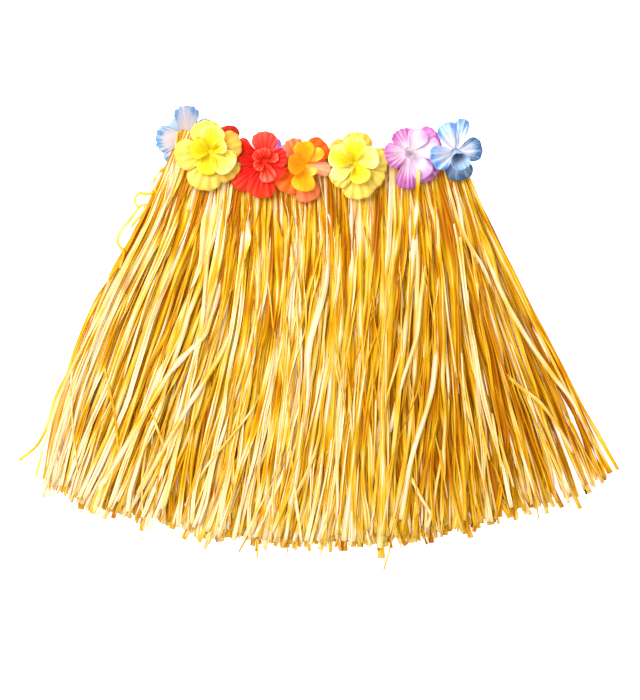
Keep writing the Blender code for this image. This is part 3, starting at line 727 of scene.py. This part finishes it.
# The corollas that lie wholly under the raffia: even ones, pressed flat. The last number is the way the
# first petal points.
HIDDEN_COROLLAS = [
    ("flower_back_2_inner", "red", -100.0, 212.0, 33.0),
    ("flower_back_3_inner", "pink_white", -54.0, 197.0, 66.0),
    ("flower_back_4_outer", "pale_yellow", 2.0, 184.0, 54.0),
    ("flower_back_4_inner", "bright_yellow", 2.0, 184.0, 54.0),
    ("flower_back_5_outer", "orange_red", 58.0, 187.0, 54.0),
    ("flower_back_5_inner", "amber", 58.0, 187.0, 54.0),
    ("flower_back_6_outer", "pale_yellow", 114.0, 187.0, 54.0),
    ("flower_back_6_inner", "bright_yellow", 114.0, 187.0, 54.0),
]
for name, colour, eye_x, eye_y, turn in HIDDEN_COROLLAS:
    outer = name.endswith("outer")
    petals = [Petal(turn + 72.0 * i, 29 if outer else 18, 35, 0, 0) for i in range(5)]
    FLOWERS.append(Flower(name, colour, colour, eye_x, eye_y, 1.9 if outer else 0.6, 0, 0, 4, 0.44, petals))

# The petals meet round the eye, under the edge of a flat button of the same cloth.
EYE_RADIUS = 3.0
BUTTON_RADIUS = EYE_RADIUS * 1.05
BUTTON_SIDES = 20
CLOTH_THICKNESS = 0.3


def rim_reach(flower, reach, across):
    """How far out a petal's rim is, from one side of the petal (-1) across to the other (1)."""
    return reach * (flower.notch + (1.0 - flower.notch) * (1.0 - np.abs(across) ** 3.0) ** 0.5)


def petal_points(flower, petal, free, rows, columns, chance):
    """One petal as a fan of pleats from the eye to a rounded rim: rows outward, columns across.

    At the eye all petals have the same half angle, `free`, and they open to their own further out.
    """
    out = np.linspace(0.0, 1.0, rows)[:, None]
    across = np.linspace(-1.0, 1.0, columns)[None, :]
    # The pleats crimp the rim, and more so where the cloth has been crushed.
    crimp = 0.035 if flower.dye == "blue_tipped" else 0.012
    rim = rim_reach(flower, petal.reach, across)
    rim = rim * (1.0 + crimp * np.cos(across * math.pi * flower.pleats + 1.0))
    reach = EYE_RADIUS + (rim - EYE_RADIUS) * out
    opened = np.clip(out / 0.35, 0.0, 1.0)
    opened = opened * opened * (3.0 - 2.0 * opened)
    half = np.radians(free + (petal.spread - free) * opened)
    way = math.radians(petal.toward) + across * half

    # A raised petal curls down along its sides and at its rim, unless it is a small deep cup.
    flat = petal.lift == 0
    curl = 0.0 if flat or flower.notch > 0.9 else 1.0
    start = chance.uniform(0.0, 2 * math.pi)
    height = petal.lift * (out ** 1.25) + petal.twist * across * out * 0.5
    height = height - 0.09 * petal.reach * (out ** 3) * (np.abs(across) ** 2) * curl
    height = height - 0.10 * petal.reach * np.clip(out - 0.7, 0.0, 1.0) * 3.3 * curl
    if flower.pleats:
        size = (0.45 if flat else 0.8) * np.clip(out * 1.4, 0.0, 1.0)
        height = height + size * np.cos(across * math.pi * flower.pleats + start)
    height = height + (0.1 if flat else 0.9 * curl) * out ** 4 * np.sin(across * 5.0 + start)
    if flat:
        height = height * 0.6
    x = flower.eye_x + flower.lean_x * out + reach * np.cos(way)
    y = flower.eye_y + flower.lean_y * out + reach * np.sin(way)
    z = flower.eye_z + np.broadcast_to(height, x.shape)
    return np.stack([x, y, z], axis=-1), np.broadcast_to(out, x.shape), np.broadcast_to(across, x.shape)


def corolla(flower):
    """A corolla as one mesh: its petals, each lapped a little over the one before, and its eye."""
    front = "front" in flower.name
    rows, columns = (16, 27) if front else (9, 15)
    lap = 0.3 if front and flower.notch < 0.9 else 0.06
    chance = np.random.default_rng(sum(ord(letter) for letter in flower.name))
    bm = bmesh.new()
    drawn = bm.loops.layers.uv.new("UVMap")
    depth = bm.verts.layers.float.new("depth")
    free = 180.0 / len(flower.petals)
    for number, petal in enumerate(flower.petals):
        points, outs, acrosses = petal_points(flower, petal, free, rows, columns, chance)
        points[..., 2] += number * outs * lap
        verts = [[bm.verts.new(points[i, j] * MM) for j in range(columns)] for i in range(rows)]
        for row in verts:
            for vert in row:
                vert[depth] = petal.depth
        for i in range(rows - 1):
            for j in range(columns - 1):
                corners = ((i, j), (i, j + 1), (i + 1, j + 1), (i + 1, j))
                face = bm.faces.new([verts[a][b] for a, b in corners])
                face.smooth = True
                for loop, (a, b) in zip(face.loops, corners):
                    loop[drawn].uv = (outs[a, b], number + 0.5 + 0.5 * acrosses[a, b])
    eye = np.array([flower.eye_x, flower.eye_y, flower.eye_z])
    middle = bm.verts.new(eye * MM)
    ring = []
    for way in np.arange(BUTTON_SIDES) * 2 * math.pi / BUTTON_SIDES:
        edge = BUTTON_RADIUS * np.array([math.cos(way), math.sin(way), 0.0])
        ring.append(bm.verts.new((eye + edge) * MM))
    for i in range(BUTTON_SIDES):
        bm.faces.new((middle, ring[i], ring[(i + 1) % BUTTON_SIDES]))
    bmesh.ops.recalc_face_normals(bm, faces=bm.faces)
    mesh = bpy.data.meshes.new(flower.name)
    bm.to_mesh(mesh)
    bm.free()
    return add_object("cloth_" + flower.name, mesh)


# What each dye gives the cloth: at the eye, half way out, near the rim, at the rim itself, the deep colour
# that petals go to, both for their dye and for painted shade, and where it has faded.
Dye = namedtuple("Dye", "eye half_way near_rim rim deepest faded")
DYES = {
    "pale_yellow": Dye("#EAD020", "#F0D84C", "#F2E070", "#EAD258", "#E0AC38", "#F8F2A4"),
    "bright_yellow": Dye("#F2D800", "#F8E810", "#FAEE54", "#FCF49C", "#F4E000", "#FEF8BC"),
    "red": Dye("#D80400", "#F21800", "#F62A00", "#F8441C", "#D00400", "#FFA090"),
    "soft_red": Dye("#F03018", "#F84824", "#F85C44", "#F4745C", "#D81808", "#F8A898"),
    "dark_red": Dye("#C81C00", "#D02800", "#CC2800", "#B42006", "#A01400", "#D85038"),
    "orange_red": Dye("#FF8A04", "#FA8004", "#F6780C", "#F26E20", "#F05C04", "#FCD0A8"),
    "amber": Dye("#FFCC00", "#FFC000", "#FFB800", "#FFC420", "#FFA200", "#FFE870"),
    "lilac": Dye("#F8F0F6", "#F0CCE6", "#DC98CE", "#C66AB2", "#B654A2", "#F4D8F0"),
    "pale_lilac": Dye("#E0C8E8", "#DCB8E6", "#D0A0E0", "#A868CC", "#9050B8", "#F0DCF4"),
    "pink_white": Dye("#E6DCDC", "#F0E2EE", "#E8CCE8", "#DAACDC", "#D09CC8", "#F4E8F4"),
    "blue": Dye("#ECE8F2", "#E6E8F4", "#B4D0EE", "#6AA4E0", "#2C4868", "#F0F4FC"),
    "blue_tipped": Dye("#D6C6C0", "#DACAC4", "#CCC4CC", "#6898C0", "#4478A8", "#F4F0F8"),
    "pale_blue": Dye("#8898AC", "#A8B6CA", "#BACADE", "#8CBCE8", "#6C98C4", "#D0DEF0"),
}
# The sizes of its patterns out along and across a petal of mean size. The ribs that pressing leaves are
# 3 mm apart and longer than the petal. The blots where dye has spread are 12.5 by 7 mm.
PETAL = (35.0, 42.0)
RIB = (70.0, 3.0)
BLOT = (12.5, 7.0)


def dyed_cloth(name):
    """Pressed polyester satin: a soft sheen, pleats set by heat, and dye that deepens to the rim."""
    colours = DYES[name]
    made, tree, output = new_material("dyed_cloth_" + name)
    place = add_node(tree, "UVMap", uv_map="UVMap")
    parts = add_node(tree, "SeparateXYZ", {"Vector": place.outputs["UV"]})
    blot_place = add_node(tree, "Mapping", {"Vector": place.outputs["UV"],
                          "Scale": (PETAL[0] / BLOT[0], PETAL[1] / BLOT[1], 1.0)})
    blot = add_node(tree, "TexNoise", {"Vector": blot_place.outputs["Vector"], "Scale": 1.0, "Detail": 2.0})
    spread = add_node(tree, "MapRange", {"Value": blot.outputs["Fac"], "From Min": 0.3, "From Max": 0.7,
                      "To Min": -0.12, "To Max": 0.12})
    rib_place = add_node(tree, "Mapping", {"Vector": place.outputs["UV"],
                         "Scale": (PETAL[0] / RIB[0], PETAL[1] / RIB[1], 1.0)})
    ribs = add_node(tree, "TexNoise", {"Vector": rib_place.outputs["Vector"], "Scale": 1.0, "Detail": 2.0})
    vein = add_node(tree, "MapRange", {"Value": ribs.outputs["Fac"], "From Min": 0.3, "From Max": 0.7,
                    "To Min": 0.2, "To Max": -0.2})
    veined = add_node(tree, "Math", {0: parts.outputs["X"], 1: vein.outputs["Result"]}, operation="ADD")
    far = add_node(tree, "Math", {0: veined.outputs["Value"], 1: spread.outputs["Result"]}, operation="ADD",
                   use_clamp=True)
    dye = add_node(tree, "ValToRGB", {"Fac": far.outputs["Value"]})
    outward = ((0.08, colours.eye), (0.45, colours.half_way), (0.78, colours.near_rim), (1.0, colours.rim))
    stops = dye.color_ramp.elements
    while len(stops) < len(outward):
        stops.new(0.5)
    for stop, (position, colour) in zip(stops, outward):
        stop.position = position
        stop.color = linear(colour)
    # Each petal's stored value pulls its colour towards the deep one: partly its dye, partly painted shade on
    # petals turned from the lamp. Below zero it fades the colour.
    depth = add_node(tree, "Attribute", attribute_name="depth")
    deep_and_shade_part = add_node(tree, "Math", {0: depth.outputs["Fac"], 1: far.outputs["Value"]},
                         operation="MULTIPLY")
    deepened_and_shaded = add_node(tree, "Mix", {0: deep_and_shade_part.outputs["Value"], 6: dye.outputs["Color"],
                        7: linear(colours.deepest)}, data_type="RGBA")
    pale_part = add_node(tree, "Math", {0: depth.outputs["Fac"], 1: -1.0}, operation="MULTIPLY",
                         use_clamp=True)
    cloth = add_node(tree, "Mix", {0: pale_part.outputs["Value"], 6: deepened_and_shaded.outputs[2],
                     7: linear(colours.faded)}, data_type="RGBA")
    relief = add_node(tree, "Bump", {"Height": ribs.outputs["Fac"], "Strength": 0.6, "Distance": 0.8 * MM})
    surface = add_node(tree, "BsdfPrincipled", {"Base Color": cloth.outputs[2], "Roughness": 0.5,
                       "IOR": 1.5, "Specular IOR Level": 0.25, "Normal": relief.outputs["Normal"],
                       "Sheen Weight": 0.06})
    through = add_node(tree, "BsdfTranslucent", {"Color": cloth.outputs[2]})
    both = add_node(tree, "MixShader", {0: 0.48, 1: surface.outputs["BSDF"], 2: through.outputs["BSDF"]})
    tree.links.new(both.outputs["Shader"], output.inputs["Surface"])
    return made


cloths = {name: dyed_cloth(name) for name in DYES}
for flower in FLOWERS:
    piece = corolla(flower)
    piece.data.materials.append(cloths[flower.dye])
    thick = piece.modifiers.new("cloth", "SOLIDIFY")
    thick.thickness = CLOTH_THICKNESS * MM
    thick.offset = 0.0
    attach(piece, "root")
    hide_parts(flower.name)

# ---------------------------------------------------------------------------------------------------
# Studio: a plain white table that gives off a little light, a white room, a large soft lamp to the upper
# left and a weak one beyond the hem. The camera looks straight down, as the skirt is laid out.

TABLE_SIZE = 12000.0
half_table = TABLE_SIZE / 2 * MM
table_mesh = bpy.data.meshes.new("table")
table_mesh.from_pydata([(-half_table, -half_table, 0.0), (half_table, -half_table, 0.0),
                        (half_table, half_table, 0.0), (-half_table, half_table, 0.0)], [], [(0, 1, 2, 3)])
table = add_object("table", table_mesh)
white, tree, output = new_material("white_card")
card = add_node(tree, "BsdfPrincipled", {"Base Color": linear("#FFFFFF"), "Roughness": 0.9,
                "Emission Color": linear("#FFFFFF"), "Emission Strength": 0.55})
tree.links.new(card.outputs["BSDF"], output.inputs["Surface"])
table_mesh.materials.append(white)

world = bpy.data.worlds.new("white_room")
bpy.context.scene.world = world
world.use_nodes = True
room = world.node_tree.nodes["Background"]
room.inputs["Color"].default_value = linear("#FFFFFF")
room.inputs["Strength"].default_value = 0.98

# Each lamp's side, its power and its place, in metres and watts. Both face the middle of the skirt.
Lamp = namedtuple("Lamp", "name side power place")
LAMPS = [
    Lamp("softbox", 1.5, 80.0, (-1.2, 0.92, 1.15)),
    Lamp("fill", 1.2, 14.0, (0.1, -1.7, 0.9)),
]
for row in LAMPS:
    light = bpy.data.lights.new(row.name, "AREA")
    light.shape = "SQUARE"
    light.size = row.side
    light.energy = row.power
    lamp = add_object(row.name, light)
    lamp.location = row.place
    lamp.rotation_euler = (-lamp.location).to_track_quat("-Z", "Y").to_euler()

# The camera is in metres too. It hangs over the middle of the skirt, and with no turn it faces down.
lens = bpy.data.cameras.new("camera")
lens.lens = 85.0
lens.sensor_width = 36.0
camera = add_object("camera", lens)
camera.location = (0.0017, -0.0136, 1.889)
bpy.context.scene.camera = camera
bpy.context.scene.view_settings.view_transform = "Standard"
